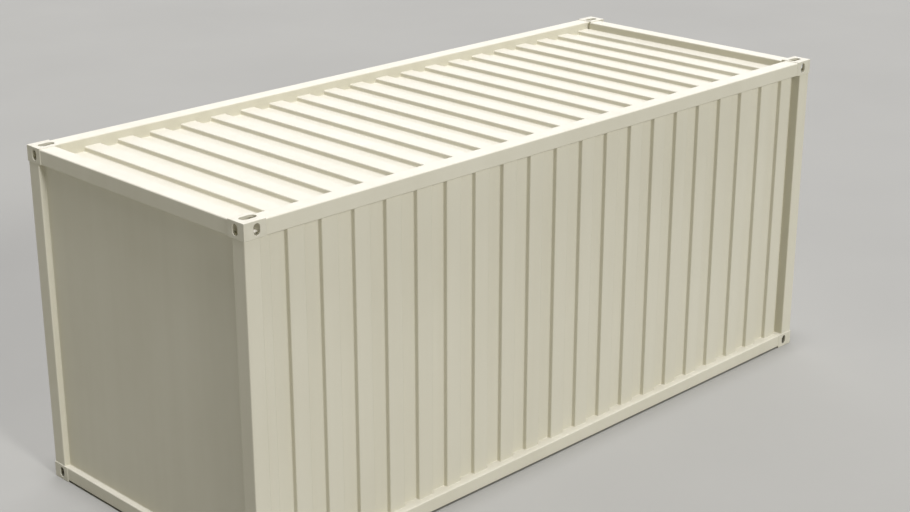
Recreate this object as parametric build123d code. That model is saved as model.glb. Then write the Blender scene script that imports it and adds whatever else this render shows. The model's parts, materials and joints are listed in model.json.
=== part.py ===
"""Twenty-foot steel shipping container, closed, standing on its four bottom castings.

The long axis is X, with the plain front end at -X and the doors at +X. Left is -Y and right is +Y,
as seen by someone who faces the doors. Z is up, and the castings' feet stand at zero.
"""

from build123d import *

import os

# Driving dimensions, in millimetres

# Whole container
length = 6058.0
width = 2438.0
height = 2591.0

# Corner castings: hollow blocks with a slot above or below and an upright hole in each outer side
casting_length = 178.0
casting_width = 162.0
casting_height = 118.0
casting_plate = 19.0
casting_skin = 16.0
casting_back = 11.0
slot_length = 124.0
slot_width = 63.5
slot_from_end = 102.5
slot_from_side = 89.5
side_hole_height = 79.0
side_hole_width = 51.0
side_hole_corner = 16.0
casting_edge = 3.0

# How far the castings stand out beyond the posts and rails
casting_proud = 4.0
casting_top_proud = 6.0
casting_foot = 12.5

# Posts and rails: box sections with rounded outer edges
post_size = 127.0
post_wall = 6.0
rail_width = 127.0
rail_wall = 4.0
section_radius = 9.0

# Corrugated sides and roof
wall_recess = 54.0
roof_recess = 70.0
rib_depth = 36.0
rib_pitch = 281.4
rib_width = 136.7
rib_flank = 4.0
first_rib_from_end = 383.0
sheet = 2.0

# Flat front end
front_recess = 50.0
front_sheet = 4.0

# Floor and the channels below it
floor_board = 28.0
channel_height = 75.0
channel_flange = 45.0
channel_wall = 4.0
channel_pitch = 305.0

# Door leaves and their rubber seals
door_recess = 70.0
leaf_depth = 50.0
stile_width = 100.0
leaf_rail_height = 120.0
leaf_edge = 4.0
seal_width = 8.0
seal_depth = 22.0
seal_setback = 5.0
seal_clearance = 0.3
band_depth = 30.0
band_groove = 110.0
band_flank = 25.0
band_count = 4

# Hinges
hinge_height_shares = (0.09, 0.36, 0.64, 0.91)
hinge_pin_radius = 9.0
hinge_pin_out = 28.0
hinge_pin_in = 24.0
hinge_eye_radius = 16.0
hinge_eye_height = 60.0
hinge_lug_height = 14.0
hinge_clearance = 0.3
hinge_strap_length = 80.0
hinge_strap = 10.0
hinge_strap_corner = 18.0

# Locking bars, their guides, cams and keepers
bar_radius = 17.0
bar_place_shares = (0.25, 0.76)
bar_reach = 72.0
bar_clearance = 0.4
guide_height = 40.0
guide_strap = 6.0
guide_width = 96.0
cam_height = 26.0
cam_radius = 22.0
cam_nose = 40.0
cam_corner = 12.0
keeper_plate = 8.0
keeper_ledge = 10.0
keeper_width = 84.0
keeper_out = 34.0
keeper_clearance = 0.5

# Door handles and the catches that they lie in
handle_raise = 115.0
handle_drop = 85.0
handle_hub_height = 36.0
handle_hub_ring = 9.0
handle_length = 400.0
handle_depth = 14.0
handle_height = 30.0
handle_corner = 9.0
catch_length = 50.0
catch_from_tip = 60.0
catch_lip = 8.0
catch_clearance = 0.4

# Small rounds that repeat have this many flat sides
round_sides = 16
half_side_angle = 180.0 / round_sides

# Cuts run this far past the faces that they open
overrun = 5.0

# Planes that the pieces share
half_length = length / 2
half_width = width / 2
end_face = half_length - casting_proud
side_face = half_width - casting_proud
post_inner_x = end_face - post_size
post_inner_y = side_face - post_size
rail_inner_y = side_face - rail_width
casting_inner_x = half_length - casting_length
casting_inner_y = half_width - casting_width
base_top = casting_height
opening_top = height - casting_height
rail_top = height - casting_top_proud
front_beam_inner = -end_face + rail_width
door_face = half_length - door_recess
door_beam_inner = door_face - rail_width
panel_start = min(front_beam_inner, -casting_inner_x)
panel_end = max(door_beam_inner, casting_inner_x)
floor_low = base_top - floor_board


def upright(x, y, z):
    """Return a plane at a point, facing up."""
    return Plane((x, y, z))


def along_x(x, y, z):
    """Return a plane at a point, facing +X, with +Y across and +Z up."""
    return Plane((x, y, z), x_dir=(0, 1, 0), z_dir=(1, 0, 0))


def along_y(x, y, z):
    """Return a plane at a point, facing +Y, with +Z across and +X up."""
    return Plane((x, y, z), x_dir=(0, 0, 1), z_dir=(0, 1, 0))


def block(low, high):
    """Return a box between two corners."""
    size = [b - a for a, b in zip(low, high)]
    return Pos(*low) * Box(*size, align=(Align.MIN, Align.MIN, Align.MIN))


def box_section(plane, across, up, wall, run):
    """Return a straight box section with rounded outer edges, from its plane along the plane's normal."""
    outer = RectangleRounded(across, up, section_radius)
    inner = Rectangle(across - 2 * wall, up - 2 * wall)
    return extrude(plane * (outer - inner), run)


def flat_round(radius):
    """Return the outline of a small round, flat-sided, with flats that touch a circle of this radius."""
    return RegularPolygon(radius, round_sides, major_radius=False, rotation=half_side_angle)


def to_right(piece):
    """Return the right-hand twin of a left-hand piece."""
    return mirror(piece, about=Plane.XZ)


def to_door_end(piece):
    """Return the door-end twin of a front-end piece."""
    return mirror(piece, about=Plane.YZ)


def to_top(piece):
    """Return the upper twin of a lower piece."""
    return mirror(piece, about=Plane((0, 0, height / 2)))


def shifted_path(points, shift):
    """Return a path's corner points moved to its left by a distance, mitred where two runs meet."""
    runs = [(b - a).normalized() for a, b in zip(points, points[1:])]
    normals = [Vector(-run.Y, run.X) for run in runs]
    inner = [
        point + (before + after) * (shift / (1 + before.dot(after)))
        for point, before, after in zip(points[1:-1], normals, normals[1:])
    ]
    return [points[0] + normals[0] * shift, *inner, points[-1] + normals[-1] * shift]


def folded_sheet(points, thickness):
    """Return the section of a folded sheet that lies to the left of a path."""
    far_points = shifted_path(points, thickness)
    return make_face(Polyline(*points, *reversed(far_points), close=True))


def ribbed_path(start, end, first, pitch, rib, flank, depth, edge):
    """Return a path of raised ribs from start to end; each rib's foot starts at first plus whole pitches.

    The path runs at height zero on the ribs and at minus depth between them, with no fold nearer to
    either end than the flat edge.
    """
    points = []
    foot = first - pitch
    while foot < end:
        corners = [
            (foot, -depth),
            (foot + flank, 0),
            (foot + flank + rib, 0),
            (foot + flank + rib + flank, -depth),
        ]
        points += [Vector(x, y) for x, y in corners if start + edge < x < end - edge]
        foot += pitch
    points.insert(0, Vector(start, points[0].Y))
    points.append(Vector(end, points[-1].Y))
    return points


# Corner castings

def bottom_casting():
    """Return the front left bottom casting: cavity, slot below, holes at its end and side."""
    low = (-half_length, -half_width, 0)
    high = (-casting_inner_x, -casting_inner_y, casting_height)
    hollow_low = (low[0] + casting_skin, low[1] + casting_skin, casting_plate)
    hollow_high = (high[0] - casting_back, high[1] - casting_back, casting_height - casting_plate)
    slot_x = -half_length + slot_from_end
    slot_y = -half_width + slot_from_side
    middle = casting_height / 2
    slot = SlotOverall(slot_length, slot_width)
    hole = chamfer(Rectangle(side_hole_height, side_hole_width).vertices(), side_hole_corner)
    below = extrude(upright(slot_x, slot_y, -overrun) * slot, overrun + casting_plate + overrun)
    cut = overrun + casting_skin + overrun
    at_end = extrude(along_x(low[0] - overrun, slot_y, middle) * Rot(0, 0, 90) * hole, cut)
    at_side = extrude(along_y(slot_x, low[1] - overrun, middle) * hole, cut)
    outside = chamfer(block(low, high).edges(), casting_edge)
    return outside - block(hollow_low, hollow_high) - below - at_end - at_side


def frame_blocks():
    """Return the full blocks of castings, sills and headers, for cutting panels back around them."""
    corner = block(
        (-half_length, -half_width, 0),
        (-casting_inner_x, -casting_inner_y, casting_height),
    )
    pair = [corner, to_right(corner)]
    front = block(
        (-end_face, -casting_inner_y, 0),
        (front_beam_inner, casting_inner_y, casting_height),
    )
    door = block(
        (door_beam_inner, -casting_inner_y, 0),
        (door_face, casting_inner_y, casting_height),
    )
    lower = [*pair, *(to_door_end(piece) for piece in pair), front, door]
    return lower + [to_top(piece) for piece in lower]


# Posts and rails

def front_post():
    """Return the front left post, from casting to casting."""
    plane = upright(-end_face + post_size / 2, -side_face + post_size / 2, base_top)
    return box_section(plane, post_size, post_size, post_wall, opening_top - base_top)


def side_rail(low, high):
    """Return a left side rail between two heights, from casting to casting."""
    plane = along_x(-casting_inner_x, -side_face + rail_width / 2, (low + high) / 2)
    return box_section(plane, rail_width, high - low, rail_wall, 2 * casting_inner_x)


def cross_beam(face, low, high):
    """Return a sill or header between two heights, its inner edge a rail's width inside its face."""
    middle = face - rail_width / 2 if face > 0 else face + rail_width / 2
    plane = along_y(middle, -casting_inner_y, (low + high) / 2)
    return box_section(plane, high - low, rail_width, rail_wall, 2 * casting_inner_y)


# Walls, roof and floor

def rib_pattern(start, end):
    """Return the path of the ribs that the sides and the roof share, between two places along X."""
    first = -half_length + first_rib_from_end
    edge = 2 * sheet
    return ribbed_path(start, end, first, rib_pitch, rib_width, rib_flank, rib_depth, edge)


def side_wall():
    """Return the left wall: one corrugated sheet that stands on its rail between the posts."""
    path = rib_pattern(-post_inner_x, post_inner_x)
    section = folded_sheet([Vector(p.X, -p.Y) for p in path], sheet)
    placed = Pos(0, -half_width + wall_recess, base_top) * section
    return extrude(placed, opening_top - base_top, dir=(0, 0, 1))


def roof_panel():
    """Return the roof: one sheet with ribs across it, between the top rails and headers."""
    path = rib_pattern(panel_start, panel_end)
    section = folded_sheet(list(reversed(path)), sheet)
    plane = Plane((0, rail_inner_y, height - roof_recess), x_dir=(1, 0, 0), z_dir=(0, -1, 0))
    panel = extrude(plane * section, 2 * rail_inner_y, dir=(0, -1, 0))
    return panel - frame_blocks()


def front_wall():
    """Return the flat front wall between its posts, sill and header."""
    outer = -half_length + front_recess
    return block((outer, -post_inner_y, base_top), (outer + front_sheet, post_inner_y, opening_top))


def floor():
    """Return the floor slab, level with the top of the bottom rails."""
    slab = block(
        (panel_start, -rail_inner_y, floor_low),
        (panel_end, rail_inner_y, base_top),
    )
    return slab - frame_blocks()


def cross_members():
    """Return the row of floor channels, evenly set out between the sills."""
    low = floor_low - channel_height
    section = Polyline(
        (0, 0),
        (channel_flange, 0),
        (channel_flange, channel_wall),
        (channel_wall, channel_wall),
        (channel_wall, channel_height - channel_wall),
        (channel_flange, channel_height - channel_wall),
        (channel_flange, channel_height),
        (0, channel_height),
        close=True,
    )
    span = door_beam_inner - front_beam_inner
    count = int(span / channel_pitch)
    start = front_beam_inner + (span - (count - 1) * channel_pitch - channel_flange) / 2
    plane = Plane((start, rail_inner_y, low), x_dir=(1, 0, 0), z_dir=(0, -1, 0))
    channel = extrude(plane * make_face(section), 2 * rail_inner_y, dir=(0, -1, 0))
    return [Pos(i * channel_pitch, 0, 0) * channel for i in range(count)]


# Door leaves, left leaf first: the right one is its twin

leaf_back = door_face - leaf_depth
leaf_outer_y = post_inner_y - seal_width
leaf_low = base_top + seal_width
leaf_high = opening_top - seal_width
leaf_span = leaf_outer_y - seal_width
leaf_rise = leaf_high - leaf_low
panel_low = leaf_low + leaf_rail_height
panel_high = leaf_high - leaf_rail_height
band_total = panel_high - panel_low - (band_count + 1) * band_groove
band_height = band_total / band_count - 2 * band_flank
band_pitch = band_height + 2 * band_flank + band_groove


def band_middle(index):
    """Return the height of the middle of a raised band, counted from the bottom."""
    return panel_low + band_groove + band_flank + band_height / 2 + index * band_pitch


def leaf_frame():
    """Return the welded frame of the left leaf: two stiles, a top and a bottom rail."""
    outer = block((leaf_back, -leaf_outer_y, leaf_low), (door_face, -seal_width, leaf_high))
    inner = block(
        (leaf_back - overrun, -leaf_outer_y + stile_width, panel_low),
        (door_face + overrun, -seal_width - stile_width, panel_high),
    )
    rim = outer.faces().sort_by(Axis.X)[-1].edges()
    return chamfer(rim, leaf_edge) - inner


def leaf_panel():
    """Return the left leaf's panel, with raised bands level with the frame's outer face."""
    first = panel_low + band_groove
    edge = 2 * sheet
    path = ribbed_path(
        panel_low, panel_high, first, band_pitch, band_height, band_flank, band_depth, edge
    )
    section = folded_sheet(list(reversed(path)), sheet)
    start = -leaf_outer_y + stile_width
    plane = Plane((door_face, start, 0), x_dir=(0, 0, 1), z_dir=(0, 1, 0))
    return extrude(plane * section, leaf_span - 2 * stile_width, dir=(0, 1, 0))


def leaf_seal():
    """Return the rubber strip around the left leaf."""
    front = door_face - seal_setback
    back = front - seal_depth
    reach = seal_width - seal_clearance
    outer = block(
        (back, -leaf_outer_y - reach, leaf_low - reach),
        (front, -seal_width + reach, leaf_high + reach),
    )
    inner = block(
        (back - overrun, -leaf_outer_y, leaf_low),
        (front + overrun, -seal_width, leaf_high),
    )
    return outer - inner


# Hinges of the left leaf

hinge_x = door_face + hinge_pin_out
hinge_y = -post_inner_y + hinge_pin_in
hinge_heights = [leaf_low + leaf_rise * share for share in hinge_height_shares]


def hinge_lug():
    """Return one pair of lugs on the post, with the pin through them, about height zero."""
    to_post = hinge_pin_in / 2
    to_eye = Pos(0, -to_post) * Rectangle(2 * hinge_eye_radius, hinge_pin_in)
    eye = flat_round(hinge_eye_radius) + to_eye
    lug = extrude(eye, hinge_lug_height)
    half_eye = hinge_eye_height / 2
    pin = Pos(0, 0, -half_eye - hinge_lug_height) * extrude(
        flat_round(hinge_pin_radius), hinge_eye_height + 2 * hinge_lug_height
    )
    return pin + Pos(0, 0, half_eye) * lug + Pos(0, 0, -half_eye - hinge_lug_height) * lug


def hinge_strap_piece():
    """Return one strap on the leaf with its eye around the pin, about height zero."""
    tall = hinge_eye_height - 2 * hinge_clearance
    low = -hinge_pin_out
    web = Pos(low / 2, hinge_eye_radius / 2) * Rectangle(hinge_pin_out, hinge_eye_radius)
    plate = Pos(low + hinge_strap / 2, hinge_strap_length / 2) * Rectangle(hinge_strap, hinge_strap_length)
    outline = flat_round(hinge_eye_radius) + web + plate
    outline -= flat_round(hinge_pin_radius + hinge_clearance)
    strap = Pos(0, 0, -tall / 2) * extrude(outline, tall)
    return chamfer(strap.edges().filter_by(Axis.X).group_by(Axis.Y)[-1], hinge_strap_corner)


# Locking bars of the left leaf

bar_x = door_face + keeper_plate + keeper_clearance + cam_radius
bar_places = [-seal_width - leaf_span * share for share in bar_place_shares]
bar_low = base_top - bar_reach
bar_high = opening_top + bar_reach


def cam():
    """Return one cam about the bar's foot: a plate with its nose toward the hinge, from height zero up."""
    run = cam_radius + cam_nose
    plate = Pos(0, cam_radius - run / 2) * Rectangle(2 * cam_radius, run)
    return extrude(chamfer(plate.vertices(), cam_corner), cam_height)


def locking_bar(y):
    """Return one locking bar with its two cams."""
    bar = Pos(bar_x, y, bar_low) * extrude(Circle(bar_radius), bar_high - bar_low)
    return bar + Pos(bar_x, y, bar_low) * cam() + Pos(bar_x, y, bar_high - cam_height) * cam()


def arch(radius, reach):
    """Return the outline of an arch from the leaf's face: straight legs and a round crown at its reach."""
    legs = Pos(reach / 2, 0) * Rectangle(reach, 2 * radius)
    return legs + Pos(reach, 0) * flat_round(radius)


def bar_guide(y, z):
    """Return one guide: a strap bent over the bar, with a foot on the leaf at each side."""
    to_bar = bar_x - door_face
    room = bar_radius + bar_clearance
    feet = Pos(guide_strap / 2, 0) * Rectangle(guide_strap, guide_width)
    outline = feet + arch(room + guide_strap, to_bar) - arch(room, to_bar)
    return Pos(door_face, y, z - guide_height / 2) * extrude(outline, guide_height)


def cam_keeper(y):
    """Return one keeper on the sill: a plate with two ledges that hold the cam between them."""
    gap = cam_height + 2 * keeper_clearance
    deep = keeper_plate + keeper_out
    low = bar_low - keeper_clearance - keeper_ledge
    top = gap + 2 * keeper_ledge
    section = Polyline(
        (0, 0),
        (deep, 0),
        (deep, keeper_ledge),
        (keeper_plate, keeper_ledge),
        (keeper_plate, keeper_ledge + gap),
        (deep, keeper_ledge + gap),
        (deep, top),
        (0, top),
        close=True,
    )
    plane = Plane((door_face, y + keeper_width / 2, low), x_dir=(1, 0, 0), z_dir=(0, -1, 0))
    keeper = extrude(plane * make_face(section), keeper_width, dir=(0, -1, 0))
    room = bar_radius + keeper_clearance
    notch = block(
        (bar_x - room, y - room, low + keeper_ledge + gap),
        (door_face + deep + overrun, y + room, low + top + overrun),
    )
    return keeper - notch


# Handles of the left leaf

handle_levels = (band_middle(1) + handle_raise, band_middle(1) - handle_drop)
handle_sides = (-1, 1)


def door_handle(y, z, side):
    """Return one handle: a hub around its bar and a flat lever out to one side."""
    hub = extrude(flat_round(bar_radius + handle_hub_ring), handle_hub_height)
    bore = extrude(flat_round(bar_radius + bar_clearance), handle_hub_height)
    lever = Box(handle_depth, handle_length, handle_height)
    tip = lever.edges().filter_by(Axis.X).group_by(Axis.Y)[-1 if side > 0 else 0]
    lever = Pos(0, side * handle_length / 2, handle_hub_height / 2) * chamfer(tip, handle_corner)
    return Pos(bar_x, y, z - handle_hub_height / 2) * (hub + lever - bore)


def handle_catch(y, z, side):
    """Return one catch: a foot on the leaf with a lip above and below the lever."""
    back = bar_x - handle_depth / 2 - catch_clearance - door_face
    deep = back + catch_clearance + handle_depth
    half_gap = handle_height / 2 + catch_clearance
    half_tall = half_gap + catch_lip
    section = Polyline(
        (0, -half_tall),
        (deep, -half_tall),
        (deep, -half_gap),
        (back, -half_gap),
        (back, half_gap),
        (deep, half_gap),
        (deep, half_tall),
        (0, half_tall),
        close=True,
    )
    middle = y + side * (handle_length - catch_from_tip)
    plane = Plane((door_face, middle + catch_length / 2, z), x_dir=(1, 0, 0), z_dir=(0, -1, 0))
    return extrude(plane * make_face(section), catch_length, dir=(0, -1, 0))


def write(name, pieces):
    """Write one node: a single solid, or like solids that don't touch."""
    solids = pieces if isinstance(pieces, list) else [pieces]
    shape = solids[0] if len(solids) == 1 else Compound(children=solids)
    export_step(shape, f"parts/{name}.step")


def write_pair(name, left_pieces):
    """Write a left-hand node and its right-hand twin."""
    solids = left_pieces if isinstance(left_pieces, list) else [left_pieces]
    write(f"left_{name}", solids)
    write(f"right_{name}", [to_right(piece) for piece in solids])


def both_sides(left_pieces):
    """Return left-hand pieces and their right-hand twins together."""
    return left_pieces + [to_right(piece) for piece in left_pieces]


def main():
    """Build every piece and write it to its own file."""
    os.makedirs("parts", exist_ok=True)

    casting = bottom_casting()
    post = front_post()
    for side, turn_side in (("left", None), ("right", to_right)):
        side_casting = turn_side(casting) if turn_side else casting
        side_post = turn_side(post) if turn_side else post
        for end, turn_end in (("front", None), ("door", to_door_end)):
            low_casting = turn_end(side_casting) if turn_end else side_casting
            write(f"{end}_{side}_bottom_casting", low_casting)
            write(f"{end}_{side}_top_casting", to_top(low_casting))
            write(f"{end}_{side}_post", turn_end(side_post) if turn_end else side_post)

    write_pair("bottom_rail", side_rail(casting_foot, base_top))
    write_pair("top_rail", side_rail(opening_top, rail_top))
    write("front_sill", cross_beam(-end_face, casting_foot, base_top))
    write("front_header", cross_beam(-end_face, opening_top, rail_top))
    write("door_sill", cross_beam(door_face, casting_foot, base_top))
    write("door_header", cross_beam(door_face, opening_top, rail_top))

    write_pair("side_wall", side_wall())
    write("front_wall", front_wall())
    write("roof_panel", roof_panel())
    write("floor", floor())
    write("cross_members", cross_members())

    write_pair("door_frame", leaf_frame())
    write_pair("door_panel", leaf_panel())
    write_pair("door_seal", leaf_seal())

    lug = hinge_lug()
    strap = hinge_strap_piece()
    write_pair("hinge_lugs", [Pos(hinge_x, hinge_y, z) * lug for z in hinge_heights])
    write_pair("hinge_straps", [Pos(hinge_x, hinge_y, z) * strap for z in hinge_heights])

    write_pair("locking_bars", [locking_bar(y) for y in bar_places])
    guides = [bar_guide(y, band_middle(i)) for y in bar_places for i in range(band_count)]
    write("bar_guides", both_sides(guides))
    keepers = both_sides([cam_keeper(y) for y in bar_places])
    write("sill_keepers", keepers)
    write("header_keepers", [to_top(keeper) for keeper in keepers])

    grips = list(zip(bar_places, handle_levels, handle_sides))
    write_pair("door_handles", [door_handle(*grip) for grip in grips])
    write("handle_catches", both_sides([handle_catch(*grip) for grip in grips]))


main()
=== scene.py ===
"""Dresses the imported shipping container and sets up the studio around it.

The frame is the container's own: metres, X along the length with the doors at +X, the long side that
faces the camera at -Y, and Z up from the castings' feet. The solids keep their shapes. The castings, the
sheets and the door seals are made again with their round holes, bends and lips. Weld beads, bolt heads and
the plates that close the door beams are added.
"""

import json
import logging
import math
from dataclasses import dataclass, field
from enum import Enum, IntEnum, StrEnum
from functools import cached_property
from itertools import product

import bmesh
import bpy
import numpy as np
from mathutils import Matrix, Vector


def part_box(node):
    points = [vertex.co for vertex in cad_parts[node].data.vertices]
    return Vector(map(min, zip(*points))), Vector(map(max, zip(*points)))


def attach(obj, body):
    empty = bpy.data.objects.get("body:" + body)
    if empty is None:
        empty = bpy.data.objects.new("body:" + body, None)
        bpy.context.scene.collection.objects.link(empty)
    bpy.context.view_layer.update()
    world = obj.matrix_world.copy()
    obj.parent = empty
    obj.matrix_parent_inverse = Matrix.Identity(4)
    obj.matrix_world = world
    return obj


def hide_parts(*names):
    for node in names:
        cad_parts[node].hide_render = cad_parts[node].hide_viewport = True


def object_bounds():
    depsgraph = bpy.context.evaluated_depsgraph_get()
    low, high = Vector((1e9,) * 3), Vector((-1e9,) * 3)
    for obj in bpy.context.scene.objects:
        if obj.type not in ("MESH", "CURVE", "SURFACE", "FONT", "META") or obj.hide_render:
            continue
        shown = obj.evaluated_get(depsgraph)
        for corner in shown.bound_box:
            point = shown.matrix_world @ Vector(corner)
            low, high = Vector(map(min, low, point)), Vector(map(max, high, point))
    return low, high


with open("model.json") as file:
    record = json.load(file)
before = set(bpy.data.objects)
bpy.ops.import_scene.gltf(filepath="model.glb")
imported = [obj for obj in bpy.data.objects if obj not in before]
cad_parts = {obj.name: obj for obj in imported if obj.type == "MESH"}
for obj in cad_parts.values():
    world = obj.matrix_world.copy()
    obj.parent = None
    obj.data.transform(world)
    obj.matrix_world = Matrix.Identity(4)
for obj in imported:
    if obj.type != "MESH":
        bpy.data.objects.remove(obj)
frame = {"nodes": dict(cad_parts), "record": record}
cad_low, cad_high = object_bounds()

log = logging.getLogger("container")

Array = np.ndarray
Colour = tuple[float, float, float]
Point = tuple[float, float, float]
Pair = tuple[float, float]
Shares = tuple[Pair, ...]
Box = tuple[Array, Array]
Line = tuple[Array, Array]
Block = tuple[Array, list[list[int]]]
Socket = bpy.types.NodeSocket

BODY = "root"


# Finishes

@dataclass(frozen=True)
class Noise:
    """A noise pattern: features a metre, finer layers, and the limits that its values are spread between."""

    per_metre: float
    layers: float
    low: float = 0.0
    high: float = 1.0


class NodeBoard:
    """A material's node tree, with short calls for the nodes that the finishes use."""

    noise_span: Pair = (0.3, 0.7)

    def __init__(self, name: str) -> None:
        """Start a material with an empty tree.

        Args:
            name: the material's name.
        """
        self.material = bpy.data.materials.new(name)
        self.material.use_nodes = True
        self.tree = self.material.node_tree
        self.tree.nodes.clear()
        self.place = self.add("ShaderNodeTexCoord", {}).outputs["Object"]

    def add(self, kind: str, inputs: dict[str | int, object], **properties: object) -> bpy.types.Node:
        """Add a node, set its properties, and link or set its inputs.

        Args:
            kind: the node's type name.
            inputs: the inputs by name or number, each with a socket to link or a plain value.
            properties: property names and their values.

        Returns:
            The new node.
        """
        node = self.tree.nodes.new(kind)
        for key, value in properties.items():
            setattr(node, key, value)
        for key, value in inputs.items():
            if isinstance(value, Socket):
                self.tree.links.new(value, node.inputs[key])
            else:
                node.inputs[key].default_value = value
        return node

    def stretched(self, scale: Point) -> Socket:
        """Return object coordinates multiplied by a factor along each axis."""
        return self.add("ShaderNodeMapping", {"Vector": self.place, "Scale": scale}).outputs["Vector"]

    def noise(self, noise: Noise, where: Socket | None = None) -> Socket:
        """Return a noise value between nought and one, read at a vector or at object coordinates."""
        inputs = {"Vector": where or self.place, "Scale": noise.per_metre, "Detail": noise.layers}
        return self.add("ShaderNodeTexNoise", inputs).outputs["Fac"]

    def spread(self, value: Socket, low: float, high: float, span: Pair = noise_span) -> Socket:
        """Return a value spread between two limits, from a span such as most of a noise lies in."""
        inputs = {"Value": value, "From Min": span[0], "From Max": span[1], "To Min": low, "To Max": high}
        return self.add("ShaderNodeMapRange", inputs).outputs["Result"]

    def varied(self, noise: Noise, where: Socket | None = None) -> Socket:
        """Return a noise value spread between the noise's own limits."""
        return self.spread(self.noise(noise, where), noise.low, noise.high)

    def total(self, first: Socket, second: Socket) -> Socket:
        """Return the sum of two values."""
        return self.add("ShaderNodeMath", {0: first, 1: second}, operation="ADD").outputs[0]

    def blend(self, factor: Socket, dark: Colour, light: Colour) -> Socket:
        """Return a colour between two: the first where the factor is nought, the second where it is one."""
        inputs = {"Factor": factor, "A": (*dark, 1.0), "B": (*light, 1.0)}
        return self.add("ShaderNodeMix", inputs, data_type="RGBA").outputs["Result"]

    def bump(self, height: Socket, distance: float, below: Socket | None = None) -> Socket:
        """Return a normal bent by a height.

        Args:
            height: the height, between nought and one.
            distance: the full height in metres.
            below: a normal that this one is laid over.

        Returns:
            The bent normal.
        """
        inputs = {"Strength": 1.0, "Distance": distance, "Height": height}
        if below is not None:
            inputs["Normal"] = below
        return self.add("ShaderNodeBump", inputs).outputs["Normal"]

    def shade(self, **inputs: object) -> bpy.types.Material:
        """Close the tree with one shader.

        Args:
            inputs: the shader's inputs, underscores for spaces, each a socket or a plain value.

        Returns:
            The finished material.
        """
        named = {key.replace("_", " "): value for key, value in inputs.items()}
        shader = self.add("ShaderNodeBsdfPrincipled", named)
        self.add("ShaderNodeOutputMaterial", {"Surface": shader.outputs["BSDF"]})
        return self.material


@dataclass(frozen=True)
class CreamPaint:
    """Satin cream paint on steel: faint fading, faint runs down the walls, fine orange peel."""

    name: str = "cream_paint"
    shaded: Colour = (0.612, 0.584, 0.455)
    sunned: Colour = (0.660, 0.634, 0.506)
    fading: Noise = Noise(0.7, 4.0, 0.0, 0.6)
    runs: Noise = Noise(1.0, 3.0, 0.0, 0.4)
    runs_stretch: Point = (7.0, 7.0, 0.3)
    waves: Noise = Noise(1.6, 1.0)
    wave_height: float = 0.0012
    peel: Noise = Noise(210.0, 2.0)
    peel_height: float = 0.00025
    roughness: Noise = Noise(9.0, 3.0, 0.42, 0.55)
    specular: float = 0.28

    def material(self) -> bpy.types.Material:
        """Make the paint.

        Returns:
            The paint as a node material.
        """
        board = NodeBoard(self.name)
        runs = board.varied(self.runs, board.stretched(self.runs_stretch))
        tone = board.total(board.varied(self.fading), runs)
        colour = board.blend(tone, self.shaded, self.sunned)
        waves = board.bump(board.noise(self.waves), self.wave_height)
        peel = board.bump(board.noise(self.peel), self.peel_height, waves)
        rough = board.varied(self.roughness)
        return board.shade(Base_Color=colour, Roughness=rough, Normal=peel, Specular_IOR_Level=self.specular)


@dataclass(frozen=True)
class Coat:
    """A finish whose colour, roughness and grain each follow a noise of their own."""

    name: str
    dark: Colour
    light: Colour
    mottle: Noise
    roughness: Noise
    grain: Noise
    grain_height: float

    def material(self) -> bpy.types.Material:
        """Make the coat.

        Returns:
            The coat as a node material.
        """
        board = NodeBoard(self.name)
        colour = board.blend(board.varied(self.mottle), self.dark, self.light)
        grain = board.bump(board.noise(self.grain), self.grain_height)
        return board.shade(Base_Color=colour, Roughness=board.varied(self.roughness), Normal=grain)


@dataclass(frozen=True)
class CastPaint(Coat):
    """The same cream paint over the sand-cast skin of the corner castings."""

    name: str = "cast_paint"
    dark: Colour = (0.585, 0.558, 0.435)
    light: Colour = (0.650, 0.624, 0.498)
    mottle: Noise = Noise(14.0, 4.0)
    roughness: Noise = Noise(30.0, 3.0, 0.48, 0.62)
    grain: Noise = Noise(120.0, 4.0)
    grain_height: float = 0.0008


@dataclass(frozen=True)
class SealRubber(Coat):
    """Matt black rubber with a faint bloom."""

    name: str = "seal_rubber"
    dark: Colour = (0.012, 0.012, 0.012)
    light: Colour = (0.035, 0.034, 0.033)
    mottle: Noise = Noise(12.0, 5.0)
    roughness: Noise = Noise(40.0, 3.0, 0.62, 0.82)
    grain: Noise = Noise(260.0, 3.0)
    grain_height: float = 0.0003


@dataclass(frozen=True)
class UndersideCoat(Coat):
    """The thick dark coating that is sprayed under the floor."""

    name: str = "underside_coat"
    dark: Colour = (0.014, 0.014, 0.014)
    light: Colour = (0.040, 0.039, 0.037)
    mottle: Noise = Noise(5.0, 5.0)
    roughness: Noise = Noise(25.0, 3.0, 0.50, 0.75)
    grain: Noise = Noise(70.0, 4.0)
    grain_height: float = 0.0015


@dataclass(frozen=True)
class ZincCoat:
    """Dull galvanized steel with its crystal flakes."""

    name: str = "zinc_coat"
    dark: Colour = (0.43, 0.44, 0.44)
    light: Colour = (0.53, 0.54, 0.54)
    flakes_per_metre: float = 150.0
    flake_span: Pair = (0.0, 1.0)
    roughness: Pair = (0.38, 0.55)
    grain: Noise = Noise(160.0, 3.0)
    grain_height: float = 0.0003
    metallic: float = 0.85

    def material(self) -> bpy.types.Material:
        """Make the zinc.

        Returns:
            The zinc as a node material.
        """
        board = NodeBoard(self.name)
        inputs = {"Vector": board.place, "Scale": self.flakes_per_metre}
        flakes = board.add("ShaderNodeTexVoronoi", inputs).outputs["Color"]
        tone = board.add("ShaderNodeSeparateColor", {"Color": flakes}).outputs
        colour = board.blend(tone["Red"], self.dark, self.light)
        rough = board.spread(tone["Green"], *self.roughness, self.flake_span)
        grain = board.bump(board.noise(self.grain), self.grain_height)
        return board.shade(Base_Color=colour, Metallic=self.metallic, Roughness=rough, Normal=grain)


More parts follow.
